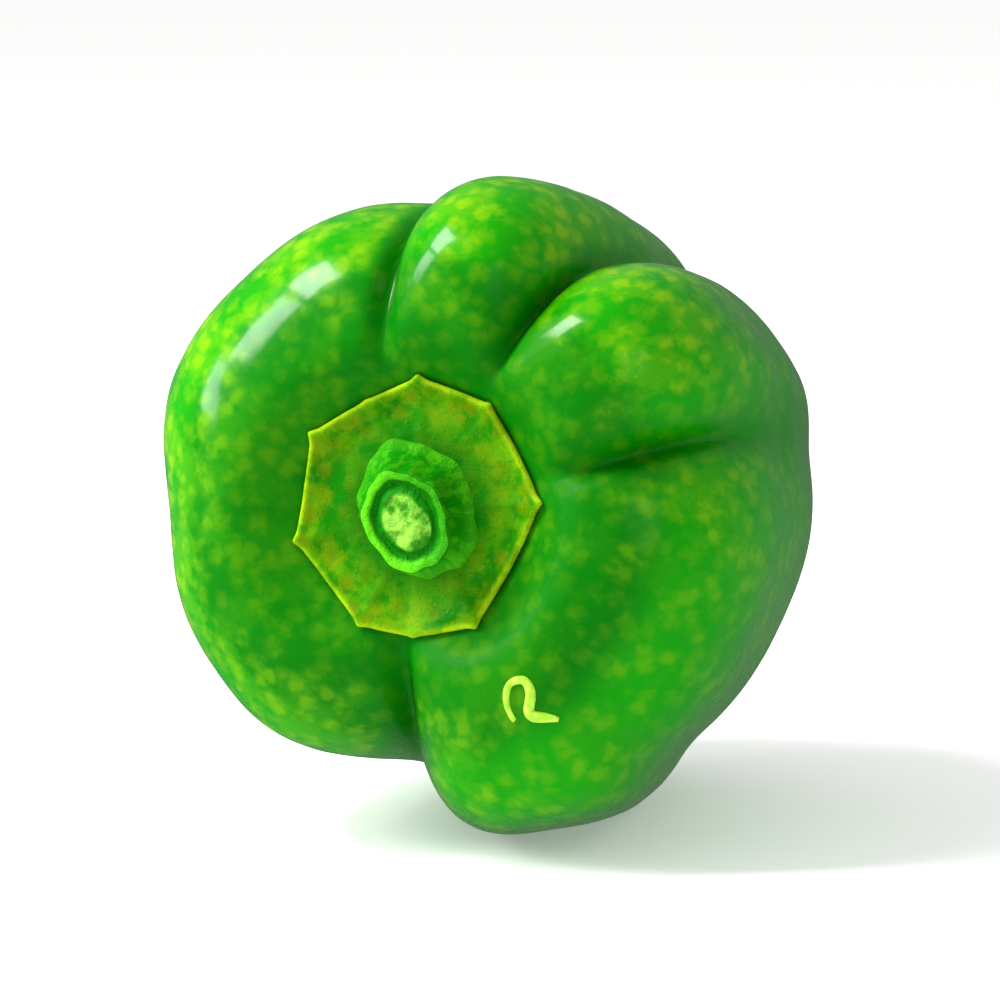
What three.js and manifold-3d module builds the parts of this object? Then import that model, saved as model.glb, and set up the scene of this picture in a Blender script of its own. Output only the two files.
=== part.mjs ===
// A green bell pepper, as picked, lying on its side on the flat of its lowest lobe.
// Three solids: the fruit, the calyx that caps its stem end, and the stub of its stem.
// Millimetres, +Z up, stem end towards -Y. The origin is on the surface that the pepper
// rests on, under the middle of its bounding box.

import * as THREE from "three";
import { mergeVertices } from "three/addons/utils/BufferGeometryUtils.js";
import Module from "manifold-3d";

// ---- Driving dimensions, in millimetres, and in degrees where the name says so ----

// Fruit. Its own frame has +Z along the stem axis and its origin half-way along the fruit.
const LOBE_REACH = 37; // stem axis to a lobe's crest, half-way along
const SHOULDER_RISE = 43; // middle of the fruit to the tops of the shoulders
const TIP_DROP = 41; // middle of the fruit to the ends of the lobes
const CORE_RADIUS = 26; // flesh between the lobes, which the grooves never pass
const CORE_HALF_LENGTH = 36;
const STEM_PITCH_DEG = 8; // how far the stem end points above the level
const REST_FLAT_DEPTH = 2; // how much of the lowest lobe the resting flat takes off

// Hollow that holds the calyx: a level floor and a wall that climbs to the shoulders.
const CAVITY_DEPTH = 6.5;
const CAVITY_STEEP_SIDE_DEG = 40; // the side whose lobes crowd against the calyx
const CALYX_CLIMB_OPEN = 6; // how much of the calyx lies on the wall, on the open side
const CALYX_CLIMB_STEEP = 3.2; // the same on the steep side
const CAVITY_WALL_OPEN = 0.22; // climb of the wall on the open side
const CAVITY_WALL_STEEP = 0.8; // climb of the wall on the steep side

// Calyx: a nine-cornered cap, thinner towards its edge.
const CALYX_RADIUS = 15.5;
const CALYX_THICKNESS = 1.7;
const CALYX_EDGE_THICKNESS = 1.1;
const CALYX_BRIDGE = 0.7; // how far around itself the underside stays above the skin

// Stem: a stub with a flared foot and an oval cut end.
const STEM_LENGTH = 7.5;
const STEM_LONG_RADIUS = 6.2;
const STEM_SHORT_RADIUS = 4.9;
const STEM_FOOT_FLARE = 2; // how far the foot spreads beyond the shank
const STEM_OVAL_DEG = 125; // direction of the oval's long radius
const STEM_BEND = 1.9; // how far the cut end stands to one side of the foot
const STEM_BEND_DEG = 308;

const SEAT_GAP = 0.35; // clearance where one piece sits on another

// A lobe is a rounded block whose outer face is its crest. Angles run anticlockwise as seen
// from the stem end. `stands` is what its crest adds to LOBE_REACH, `rises` and `drops` what
// its ends add to SHOULDER_RISE and TIP_DROP. `lean` is how fast it spreads towards the stem.
const LOBES = {
  upperLeft: { deg: 136, stands: 1.6, across: 27, deep: 26, rises: 0.5, drops: 1.5, lean: 0.12 },
  lowerLeft: { deg: 217, stands: -0.6, across: 21.5, deep: 26, rises: -0.5, drops: 0.7, lean: 0.08 },
  bottom: { deg: 282, stands: 1.3, across: 15.2, deep: 22, rises: -0.5, drops: -3.2, lean: 0.08 },
  right: { deg: 337, stands: -2.8, across: 26, deep: 26, rises: 0, drops: 2, lean: 0.17 },
  upperRight: { deg: 39, stands: 0, across: 14.8, deep: 23.5, rises: 0, drops: -2, lean: 0.16 },
  top: { deg: 81, stands: 1, across: 13.2, deep: 23.5, rises: 0.5, drops: -1, lean: 0.12 },
};
const BOTTOM_SLANT = 0.19; // how fast the bottom lobe drifts to the right towards the stem
// Lobes that have grown together share one swelling, and a larger softness leaves less of a
// groove between them.
const SWELLINGS = [
  { lobes: [LOBES.upperLeft, LOBES.lowerLeft], softness: 8 },
  { lobes: [LOBES.bottom, LOBES.right], softness: 2 },
  { lobes: [LOBES.upperRight], softness: 0 },
  { lobes: [LOBES.top], softness: 0 },
];
const LOBE_SQUARE = 2.5; // exponent of a lobe's cross-section: 2 is an ellipse, more is squarer
const BOTTOM_SQUARE = 3.4; // the same for the lobe that the pepper lies on
const END_SQUARE = 3; // the same for the ends of all lobes

// Grooves between swellings.
const GROOVE_SOFT_MIDDLE = 2.6; // rounding of a groove's bottom half-way along the fruit
const GROOVE_SOFT_ENDS = 0.5; // the same near the two ends
const PINCH_DEPTH = 2.2; // how much deeper the grooves cut over the shoulders
const PINCH_WIDTH = 2.2; // difference in reach at which the pinch fades out
const PINCH_SHOULDER = { from: 0.66, spread: 0.4, share: 1 }; // angles from the stem, in radians
const PINCH_TIP = { from: 0.45, spread: 0.35, share: 0.6 }; // from the blossom end
const TIP_DIMPLE = 0.1; // dimple at the blossom end, as a part of the reach there
const TIP_DIMPLE_SPREAD = 0.26; // radians
const CAVITY_RIM_SOFT = 1.3; // rounding where the cavity's wall meets the shoulders

// Corners of the calyx: angle in degrees, and how far each stands beyond CALYX_RADIUS.
const CALYX_CORNERS = [
  { deg: 5, beyond: 0 },
  { deg: 56, beyond: -0.1 },
  { deg: 91, beyond: 0.3 },
  { deg: 119, beyond: -1 },
  { deg: 148, beyond: 0.4 },
  { deg: 197, beyond: 0.1 },
  { deg: 245, beyond: 0.1 },
  { deg: 270, beyond: -0.1 },
  { deg: 302, beyond: 0.6 },
];

// Facets.
const FRUIT_AROUND = 64;
const FRUIT_RINGS = 44;
const RING_CROWDING = 1.5; // above 1, the rings crowd towards the stem end
const CALYX_AROUND = 72;
const CALYX_RINGS = 7;
const STEM_AROUND = 32;
const STEM_FOOT_RINGS = 4;
const STEM_FLARE_RINGS = 6;
const SEARCH_STEPS = 24; // halvings in a search, to a few millionths of a millimetre

const radians = THREE.MathUtils.degToRad;
const cavityFloor = SHOULDER_RISE - CAVITY_DEPTH;

const wasm = await Module();
wasm.setup();

// ---- The fruit's surface ----

// Halves the range from low to high until it holds the last place where test is true.
function search(low, high, test) {
  for (let step = 0; step < SEARCH_STEPS; step += 1) {
    const middle = (low + high) / 2;
    if (test(middle)) low = middle;
    else high = middle;
  }
  return (low + high) / 2;
}

// True where a point, in the fruit's frame, is inside a rounded block of the given form.
function insideBlock(block, x, y, z) {
  const outward = x * block.cos + y * block.sin - block.centre - block.lean * z;
  const sideways = y * block.cos - x * block.sin - block.slant * z;
  const height = z > 0 ? block.rise : block.drop;
  const { square } = block;
  const section =
    Math.abs(outward / block.deep) ** square + Math.abs(sideways / block.across) ** square;
  return section ** (END_SQUARE / square) + Math.abs(z / height) ** END_SQUARE < 1;
}

// A lobe's block: its centre lies on the way to its crest.
function lobeBlock(lobe) {
  return {
    cos: Math.cos(radians(lobe.deg)),
    sin: Math.sin(radians(lobe.deg)),
    centre: LOBE_REACH + lobe.stands - lobe.deep,
    deep: lobe.deep,
    across: lobe.across,
    rise: SHOULDER_RISE + lobe.rises,
    drop: TIP_DROP + lobe.drops,
    lean: lobe.lean,
    slant: lobe === LOBES.bottom ? BOTTOM_SLANT : 0,
    square: lobe === LOBES.bottom ? BOTTOM_SQUARE : LOBE_SQUARE,
  };
}

const coreBlock = {
  cos: 1,
  sin: 0,
  centre: 0,
  deep: CORE_RADIUS,
  across: CORE_RADIUS,
  rise: CORE_HALF_LENGTH,
  drop: CORE_HALF_LENGTH,
  lean: 0,
  slant: 0,
  square: LOBE_SQUARE,
};
const swellingBlocks = SWELLINGS.map(({ lobes, softness }) => ({
  blocks: lobes.map(lobeBlock),
  softness,
}));
const farthest = 2 * (LOBE_REACH + SHOULDER_RISE + TIP_DROP);

// How far a block reaches from the fruit's middle along a direction.
function blockReach(block, dir) {
  return search(0, farthest, (r) => insideBlock(block, dir.x * r, dir.y * r, dir.z * r));
}

// The largest of some values, rounded off over `softness` where two of them are close.
function softMax(values, softness) {
  const most = Math.max(...values);
  if (softness === 0) return most;
  const sum = values.reduce((total, value) => total + Math.exp((value - most) / softness), 0);
  return most + softness * Math.log(sum);
}

// A swelling's reach: its lobes run together, less the height that rounding them off adds.
const ROUNDING_SHARE = 0.35;
function swellingReach({ blocks, softness }, dir) {
  const reaches = blocks.map((block) => blockReach(block, dir));
  return softMax(reaches, softness) - ROUNDING_SHARE * softness;
}

function bell(value, centre, spread) {
  return Math.exp(-(((value - centre) / spread) ** 2));
}

// The cavity's surface along a direction: level floor, then a wall that steepens outwards.
function cavityReach(dir) {
  const across = Math.hypot(dir.x, dir.y);
  const bearing = Math.atan2(dir.y, dir.x);
  const steep = 0.5 + 0.5 * Math.cos(bearing - radians(CAVITY_STEEP_SIDE_DEG));
  const climb = THREE.MathUtils.lerp(CALYX_CLIMB_OPEN, CALYX_CLIMB_STEEP, steep);
  const wall = THREE.MathUtils.lerp(CAVITY_WALL_OPEN, CAVITY_WALL_STEEP, steep);
  const beyond = Math.max(0, (cavityFloor * across) / dir.z - (CALYX_RADIUS - climb));
  return cavityFloor / dir.z + wall * beyond ** 1.6;
}

// How far the fruit's skin is from its middle along a unit direction.
function fruitReach(dir) {
  const reaches = swellingBlocks.map((swelling) => swellingReach(swelling, dir));
  const core = blockReach(coreBlock, dir);
  const [first, second] = [...reaches].sort((a, b) => b - a);
  const towardsEnd = Math.abs(dir.z) ** 1.5;
  const softness = THREE.MathUtils.lerp(GROOVE_SOFT_MIDDLE, GROOVE_SOFT_ENDS, towardsEnd);
  let reach = softMax([...reaches, core], softness);

  const fromStem = Math.acos(THREE.MathUtils.clamp(dir.z, -1, 1));
  const fromTip = Math.PI - fromStem;
  const overCore = THREE.MathUtils.clamp((first - core) / PINCH_WIDTH, 0, 1);
  const inGroove = overCore * bell(first - second, 0, PINCH_WIDTH);
  const nearEnds =
    PINCH_SHOULDER.share * bell(fromStem, PINCH_SHOULDER.from, PINCH_SHOULDER.spread) +
    PINCH_TIP.share * bell(fromTip, PINCH_TIP.from, PINCH_TIP.spread);
  reach -= PINCH_DEPTH * inGroove * nearEnds;
  reach *= 1 - TIP_DIMPLE * bell(fromTip, 0, TIP_DIMPLE_SPREAD);
  if (dir.z < 0.5) return reach;
  return -softMax([-reach, -cavityReach(dir)], CAVITY_RIM_SOFT);
}

// ---- Solids ----

// Moves each vertex of a geometry, and leaves only closed, shared positions behind.
function reshaped(geometry, place) {
  const shape = geometry.clone();
  shape.deleteAttribute("normal");
  shape.deleteAttribute("uv");
  const closed = mergeVertices(shape, 1e-6);
  const positions = closed.getAttribute("position");
  const point = new THREE.Vector3();
  for (let i = 0; i < positions.count; i += 1) {
    place(point.fromBufferAttribute(positions, i));
    positions.setXYZ(i, point.x, point.y, point.z);
  }
  return closed;
}

function toManifold(geometry) {
  const vertProperties = new Float32Array(geometry.getAttribute("position").array);
  const triVerts = new Uint32Array(geometry.index.array);
  return new wasm.Manifold(new wasm.Mesh({ numProp: 3, vertProperties, triVerts }));
}

function toGeometry(solid) {
  const { vertProperties, triVerts } = solid.getMesh();
  const geometry = new THREE.BufferGeometry();
  geometry.setAttribute("position", new THREE.BufferAttribute(vertProperties, 3));
  geometry.setIndex(new THREE.BufferAttribute(triVerts, 1));
  geometry.computeVertexNormals();
  return geometry;
}

// A unit ball with its poles on the stem axis, each vertex pushed out to the fruit's skin.
function fruitShape() {
  const ball = new THREE.SphereGeometry(1, FRUIT_AROUND, FRUIT_RINGS);
  ball.rotateX(Math.PI / 2);
  return reshaped(ball, (point) => {
    const bearing = Math.atan2(point.y, point.x);
    const share = Math.acos(THREE.MathUtils.clamp(point.z, -1, 1)) / Math.PI;
    const fromStem = Math.PI * share ** RING_CROWDING;
    const across = Math.sin(fromStem);
    point.set(across * Math.cos(bearing), across * Math.sin(bearing), Math.cos(fromStem));
    point.multiplyScalar(fruitReach(point));
  });
}

// The fruit with its resting flat: a level block, set into the fruit's frame, cuts it off.
function fruitGeometry(laying) {
  const shape = fruitShape();
  const laid = shape.clone().applyMatrix4(laying);
  const box = new THREE.Box3().setFromBufferAttribute(laid.getAttribute("position"));
  const size = box.getSize(new THREE.Vector3());
  const block = new THREE.BoxGeometry(2 * size.x, 2 * size.y, size.z);
  block.translate(0, 0, box.min.z + REST_FLAT_DEPTH - size.z / 2);
  block.applyMatrix4(laying.clone().invert());
  const cutter = toManifold(reshaped(block, () => {}));
  return toGeometry(toManifold(shape).subtract(cutter));
}

// Distance from the stem axis to the calyx's edge, which runs straight from corner to corner.
function calyxEdge(bearing) {
  const turn = THREE.MathUtils.euclideanModulo(THREE.MathUtils.radToDeg(bearing), 360);
  const count = CALYX_CORNERS.length;
  const after = CALYX_CORNERS.findIndex((corner) => corner.deg > turn);
  const next = CALYX_CORNERS[after === -1 ? 0 : after];
  const last = CALYX_CORNERS[((after === -1 ? 0 : after) + count - 1) % count];
  const from = CALYX_RADIUS + last.beyond;
  const to = CALYX_RADIUS + next.beyond;
  const span = radians(THREE.MathUtils.euclideanModulo(next.deg - last.deg, 360));
  const past = radians(THREE.MathUtils.euclideanModulo(turn - last.deg, 360));
  return (from * to * Math.sin(span)) / (from * Math.sin(past) + to * Math.sin(span - past));
}

// Height of the skin over a place beside the stem axis.
function skinHeight(x, y) {
  const distance = Math.hypot(x, y);
  const bearing = Math.atan2(y, x);
  const dir = new THREE.Vector3();
  const reachAt = (fromStem) => {
    const across = Math.sin(fromStem);
    dir.set(across * Math.cos(bearing), across * Math.sin(bearing), Math.cos(fromStem));
    return fruitReach(dir);
  };
  const fromStem = search(0, 1, (angle) => reachAt(angle) * Math.sin(angle) < distance);
  return reachAt(fromStem) * Math.cos(fromStem);
}

// Height of the calyx's underside: clear of the skin below it and close around it, so that
// it spans the narrow ends of the grooves.
function undersideHeight(x, y) {
  const around = [
    [0, 0],
    [CALYX_BRIDGE, 0],
    [-CALYX_BRIDGE, 0],
    [0, CALYX_BRIDGE],
    [0, -CALYX_BRIDGE],
  ];
  return Math.max(...around.map(([dx, dy]) => skinHeight(x + dx, y + dy))) + SEAT_GAP;
}

function calyxThickness(share) {
  return THREE.MathUtils.lerp(CALYX_THICKNESS, CALYX_EDGE_THICKNESS, share ** 4);
}

// A unit disc in rings, with an underside at height 0 and a top at height 1, laid on the skin.
function calyxGeometry() {
  const profile = [];
  for (let ring = 0; ring <= CALYX_RINGS; ring += 1) {
    profile.push(new THREE.Vector2(ring / CALYX_RINGS, 0));
  }
  for (let ring = CALYX_RINGS; ring >= 0; ring -= 1) {
    profile.push(new THREE.Vector2(ring / CALYX_RINGS, 1));
  }
  const disc = new THREE.LatheGeometry(profile, CALYX_AROUND);
  disc.rotateX(Math.PI / 2);
  return reshaped(disc, (point) => {
    const thickness = point.z * calyxThickness(Math.hypot(point.x, point.y));
    const edge = calyxEdge(Math.atan2(point.y, point.x));
    point.x *= edge;
    point.y *= edge;
    point.z = undersideHeight(point.x, point.y) + thickness;
  });
}

// Half of the stub's outline, in shares of its radius and in millimetres of height.
function stemProfile() {
  const flareHeight = 0.5 * STEM_LENGTH;
  const wornEdge = 0.04 * STEM_LENGTH;
  const wornRadius = 0.93;
  const foot = 1 + STEM_FOOT_FLARE / STEM_SHORT_RADIUS;
  const profile = [];
  for (let ring = 0; ring <= STEM_FOOT_RINGS; ring += 1) {
    profile.push(new THREE.Vector2((foot * ring) / STEM_FOOT_RINGS, 0));
  }
  for (let step = 1; step <= STEM_FLARE_RINGS; step += 1) {
    const share = step / STEM_FLARE_RINGS;
    profile.push(new THREE.Vector2(1 + (foot - 1) * (1 - share) ** 2, flareHeight * share));
  }
  profile.push(new THREE.Vector2(1, STEM_LENGTH - wornEdge));
  profile.push(new THREE.Vector2(wornRadius, STEM_LENGTH));
  profile.push(new THREE.Vector2(0, STEM_LENGTH));
  return profile;
}

// The stem stands on the calyx's top: its foot follows it, and its cut end bends to one side.
function stemGeometry() {
  const stub = new THREE.LatheGeometry(stemProfile(), STEM_AROUND);
  stub.rotateX(Math.PI / 2);
  stub.scale(STEM_LONG_RADIUS, STEM_SHORT_RADIUS, 1);
  stub.rotateZ(radians(STEM_OVAL_DEG));
  return reshaped(stub, (point) => {
    const bend = STEM_BEND * (point.z / STEM_LENGTH) ** 2;
    const share = Math.hypot(point.x, point.y) / calyxEdge(Math.atan2(point.y, point.x));
    point.z += undersideHeight(point.x, point.y) + calyxThickness(share) + SEAT_GAP;
    point.x += bend * Math.cos(radians(STEM_BEND_DEG));
    point.y += bend * Math.sin(radians(STEM_BEND_DEG));
  });
}

// ---- Assembly ----

function piece(name, geometry, colour, roughness) {
  const material = new THREE.MeshStandardMaterial({ color: colour, roughness, metalness: 0 });
  const mesh = new THREE.Mesh(geometry, material);
  mesh.name = name;
  return mesh;
}

// The three pieces in the fruit's own frame, then laid down with the stem end towards -Y.
const laying = new THREE.Matrix4().makeRotationX(radians(90 - STEM_PITCH_DEG));
const fruit = piece("fruit", fruitGeometry(laying), 0x2b960a, 0.3);
const calyx = piece("calyx", calyxGeometry(), 0x4f9413, 0.6);
const stem = piece("stem", stemGeometry(), 0x5a9c1e, 0.65);

const laid = new THREE.Group();
laid.add(fruit, calyx, stem);
laid.rotation.setFromRotationMatrix(laying);

const pepper = new THREE.Group();
pepper.add(laid);
const bounds = new THREE.Box3().setFromObject(pepper, true);
const middle = bounds.getCenter(new THREE.Vector3());
laid.position.set(-middle.x, -middle.y, -bounds.min.z);

export default pepper;
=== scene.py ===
"""A green bell pepper lying on its side, its stem end turned towards the viewer.

The fruit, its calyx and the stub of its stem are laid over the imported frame. The fruit's skin
is one formula: a distance from the fruit's middle along every direction, made of lobes that
swell into each other. The calyx, the stem and the marks on the skin all rest on that formula.
Lengths are in millimetres in the fruit's own frame, where +Z runs along the stem, and metres
in the shared frame.
"""

import logging
import math
from dataclasses import dataclass, field
from enum import Enum
from typing import Iterable, Sequence

import bmesh
import bpy
import numpy as np
from mathutils import Matrix, Vector, noise


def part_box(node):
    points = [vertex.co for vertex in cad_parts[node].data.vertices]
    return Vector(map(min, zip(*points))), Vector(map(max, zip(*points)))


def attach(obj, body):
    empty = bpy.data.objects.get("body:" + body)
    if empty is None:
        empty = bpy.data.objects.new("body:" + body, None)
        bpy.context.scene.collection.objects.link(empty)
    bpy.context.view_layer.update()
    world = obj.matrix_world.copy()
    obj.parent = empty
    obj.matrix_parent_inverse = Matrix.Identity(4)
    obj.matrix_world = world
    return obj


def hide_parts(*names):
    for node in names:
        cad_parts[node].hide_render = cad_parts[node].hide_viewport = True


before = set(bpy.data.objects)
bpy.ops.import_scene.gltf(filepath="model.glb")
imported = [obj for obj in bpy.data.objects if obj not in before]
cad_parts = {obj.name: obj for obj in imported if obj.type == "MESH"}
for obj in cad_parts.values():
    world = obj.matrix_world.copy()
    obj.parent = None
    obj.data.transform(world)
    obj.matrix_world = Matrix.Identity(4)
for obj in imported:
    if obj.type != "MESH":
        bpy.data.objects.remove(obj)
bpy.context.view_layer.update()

log = logging.getLogger("bell_pepper")

MM = 0.001
FULL_TURN = 2 * math.pi
SEARCH_STEPS = 24

Colour = tuple[float, float, float]


class Node(str, Enum):
    """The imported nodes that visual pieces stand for."""

    FRUIT = "fruit"
    CALYX = "calyx"
    STEM = "stem"


class Slot(str, Enum):
    """The record's material slots."""

    SKIN = "skin"
    CALYX = "calyx"
    STEM = "stem"


# ---------------------------------------------------------------------------------------------
# The shape of the fruit
# ---------------------------------------------------------------------------------------------


def bell(value: np.ndarray, centre: float, spread: float) -> np.ndarray:
    """A smooth hump that is 1 at its centre.

    Args:
        value: where to read the hump.
        centre: where it is highest.
        spread: distance at which it has fallen to about a third.

    Returns:
        The height of the hump at each value, from 0 to 1.
    """
    return np.exp(-(((value - centre) / spread) ** 2))


def blend(low: float, high: float, share: np.ndarray) -> np.ndarray:
    """Runs evenly from low, at a share of 0, to high, at a share of 1."""
    return low + (high - low) * share


def soft_step(value: np.ndarray, start: float, end: float) -> np.ndarray:
    """Rises smoothly from 0 at start to 1 at end."""
    share = np.clip((value - start) / (end - start), 0, 1)
    return share * share * (3 - 2 * share)


def soft_max(values: np.ndarray, softness: float | np.ndarray) -> np.ndarray:
    """The largest value of each column, rounded off where two of them are close.

    Args:
        values: one row for each thing compared.
        softness: how close two values are before they are rounded into each other.

    Returns:
        One value for each column.
    """
    most = values.max(axis=0)
    return most + softness * np.log(np.exp((values - most) / softness).sum(axis=0))


def directions(bearing: np.ndarray, from_stem: np.ndarray) -> np.ndarray:
    """Unit directions in the fruit's frame.

    Args:
        bearing: angle around the stem axis, in radians.
        from_stem: angle away from the stem axis, in radians.

    Returns:
        An array with one direction in each row.
    """
    across = np.sin(from_stem)
    return np.stack([across * np.cos(bearing), across * np.sin(bearing), np.cos(from_stem)], -1)


@dataclass(frozen=True)
class Lobe:
    """A rounded block whose outer face is the crest of one lobe, in millimetres."""

    bearing_deg: float
    stands: float
    across: float
    deep: float
    rises: float
    drops: float
    lean: float
    slant: float = 0.0
    square: float = 2.5


@dataclass(frozen=True)
class Swelling:
    """Lobes that have grown together; a larger softness leaves less of a groove."""

    lobes: tuple[Lobe, ...]
    softness: float = 0.0


@dataclass(frozen=True)
class Cavity:
    """The hollow that holds the calyx: a level floor and a wall that climbs outwards."""

    depth: float = 6.5
    steep_side_deg: float = 40.0
    calyx_radius: float = 15.5
    climb_open: float = 6.0
    climb_steep: float = 3.2
    wall_open: float = 0.22
    wall_steep: float = 0.8
    wall_power: float = 1.6
    rim_softness: float = 2.6

    def reach(self, dirs: np.ndarray, floor: float) -> np.ndarray:
        """How far the cavity's surface is along directions on the stem side.

        Args:
            dirs: unit directions whose third part is above zero.
            floor: height of the cavity's floor above the fruit's middle.

        Returns:
            The distance along each direction.
        """
        bearing = np.arctan2(dirs[:, 1], dirs[:, 0])
        steep = 0.5 + 0.5 * np.cos(bearing - math.radians(self.steep_side_deg))
        start = self.calyx_radius - blend(self.climb_open, self.climb_steep, steep)
        out = floor * np.hypot(dirs[:, 0], dirs[:, 1]) / dirs[:, 2]
        wall = blend(self.wall_open, self.wall_steep, steep)
        return floor / dirs[:, 2] + wall * np.clip(out - start, 0, None) ** self.wall_power


LEFT_SIDE = Swelling(
    lobes=(
        Lobe(136, stands=1.6, across=27, deep=26, rises=0.5, drops=1.5, lean=0.12),
        Lobe(217, stands=-0.6, across=21.5, deep=26, rises=-0.5, drops=0.7, lean=0.08),
    ),
    softness=8,
)
BOTTOM_LOBE = Lobe(
    bearing_deg=282,
    stands=1.3,
    across=15.2,
    deep=22,
    rises=-0.5,
    drops=-3.2,
    lean=0.08,
    slant=0.19,
    square=3.4,
)
RIGHT_LOBE = Lobe(337, stands=-2.8, across=26, deep=26, rises=0, drops=2, lean=0.17)
LOWER_SIDE = Swelling(lobes=(BOTTOM_LOBE, RIGHT_LOBE), softness=2)
UPPER_RIGHT = Swelling((Lobe(39, stands=0, across=14.8, deep=23.5, rises=0, drops=-2, lean=0.16),))
TOP = Swelling((Lobe(81, stands=1, across=13.2, deep=23.5, rises=0.5, drops=-1, lean=0.12),))


@dataclass(frozen=True)
class FruitForm:
    """The fruit's skin as a distance from its middle along any direction."""

    lobe_reach: float = 37.0
    shoulder_rise: float = 43.0
    tip_drop: float = 41.0
    core_radius: float = 26.0
    core_half_length: float = 36.0
    end_square: float = 3.0
    groove_soft_middle: float = 2.6
    groove_soft_ends: float = 0.5
    pinch_depth: float = 2.2
    pinch_width: float = 2.2
    valley_width: float = 5.0
    tip_dimple: float = 0.1
    tip_dimple_spread: float = 0.26
    rounding_share: float = 0.35
    swellings: tuple[Swelling, ...] = (LEFT_SIDE, LOWER_SIDE, UPPER_RIGHT, TOP)
    cavity: Cavity = field(default_factory=Cavity)

    @property
    def floor(self) -> float:
        """Height of the cavity's floor above the fruit's middle."""
        return self.shoulder_rise - self.cavity.depth

    def _lobe_reach(self, dirs: np.ndarray, lobe: Lobe) -> np.ndarray:
        """How far one lobe's block reaches, found by halving the range that holds its skin.

        Args:
            dirs: unit directions.
            lobe: the lobe to measure.

        Returns:
            The distance along each direction.
        """
        turn = math.radians(lobe.bearing_deg)
        centre = self.lobe_reach + lobe.stands - lobe.deep
        outward = dirs[:, 0] * math.cos(turn) + dirs[:, 1] * math.sin(turn) - lobe.lean * dirs[:, 2]
        sideways = dirs[:, 1] * math.cos(turn) - dirs[:, 0] * math.sin(turn)
        sideways = np.abs(sideways - lobe.slant * dirs[:, 2]) / lobe.across
        sideways = sideways**lobe.square
        stem_end, tip_end = self.shoulder_rise + lobe.rises, self.tip_drop + lobe.drops
        height = np.where(dirs[:, 2] > 0, stem_end, tip_end)
        lengthways = (np.abs(dirs[:, 2]) / height) ** self.end_square
        low = np.zeros(len(dirs))
        high = np.full(len(dirs), 2.0 * (self.shoulder_rise + self.lobe_reach))
        for _ in range(SEARCH_STEPS):
            middle = (low + high) / 2
            section = (np.abs(outward * middle - centre) / lobe.deep) ** lobe.square
            section += sideways * middle**lobe.square
            gauge = section ** (self.end_square / lobe.square)
            gauge += lengthways * middle**self.end_square
            inside = gauge < 1
            low = np.where(inside, middle, low)
            high = np.where(inside, high, middle)
        return (low + high) / 2

    def _core(self) -> Lobe:
        """The flesh between the lobes.

        Returns:
            A block centred on the stem axis.
        """
        radius = self.core_radius
        drops = self.core_half_length - self.tip_drop
        rises = self.core_half_length - self.shoulder_rise
        return Lobe(0, radius - self.lobe_reach, radius, radius, rises, drops, 0)

    def measure(self, dirs: np.ndarray) -> tuple[np.ndarray, np.ndarray]:
        """The skin along some directions.

        Args:
            dirs: unit directions in the fruit's frame.

        Returns:
            The distance of the skin from the fruit's middle, and how far down in a valley
            between two swellings it is, from 0 on a crest to 1.
        """
        reaches = []
        for swelling in self.swellings:
            lobes = np.stack([self._lobe_reach(dirs, lobe) for lobe in swelling.lobes])
            joined = lobes[0]
            if len(lobes) > 1:
                joined = soft_max(lobes, swelling.softness)
                joined = joined - self.rounding_share * swelling.softness
            reaches.append(joined)
        rows = np.stack(reaches)
        core = self._lobe_reach(dirs, self._core())
        ordered = np.sort(rows, axis=0)
        softness = blend(self.groove_soft_middle, self.groove_soft_ends, np.abs(dirs[:, 2]) ** 1.5)
        reach = soft_max(np.vstack([rows, core[None]]), softness)

        from_stem = np.arccos(np.clip(dirs[:, 2], -1, 1))
        from_tip = math.pi - from_stem
        over_core = np.clip((ordered[-1] - core) / self.pinch_width, 0, 1)
        apart = ordered[-1] - ordered[-2]
        groove = over_core * bell(apart, 0, self.pinch_width)
        near_ends = bell(from_stem, 0.66, 0.4) + 0.6 * bell(from_tip, 0.45, 0.35)
        reach = reach - self.pinch_depth * groove * near_ends
        reach = reach * (1 - self.tip_dimple * bell(from_tip, 0, self.tip_dimple_spread))

        stem_side = dirs[:, 2] >= 0.5
        wall = self.cavity.reach(dirs[stem_side], self.floor)
        both = -np.stack([reach[stem_side], wall])
        reach[stem_side] = -soft_max(both, self.cavity.rim_softness)
        return reach, over_core * bell(apart, 0, self.valley_width)

    def over(self, x: np.ndarray, y: np.ndarray) -> np.ndarray:
        """Points of the skin on the stem side, over places beside the stem axis.

        Args:
            x: distance to the right of the stem axis.
            y: distance above the stem axis.

        Returns:
            One point of the skin in each row.
        """
        bearing = np.arctan2(y, x)
        distance = np.hypot(x, y)
        low = np.zeros(len(bearing))
        high = np.full(len(bearing), 1.1)
        for _ in range(SEARCH_STEPS):
            middle = (low + high) / 2
            reach, _ = self.measure(directions(bearing, middle))
            nearer = reach * np.sin(middle) < distance
            low = np.where(nearer, middle, low)
            high = np.where(nearer, high, middle)
        dirs = directions(bearing, (low + high) / 2)
        return dirs * self.measure(dirs)[0][:, None]


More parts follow.
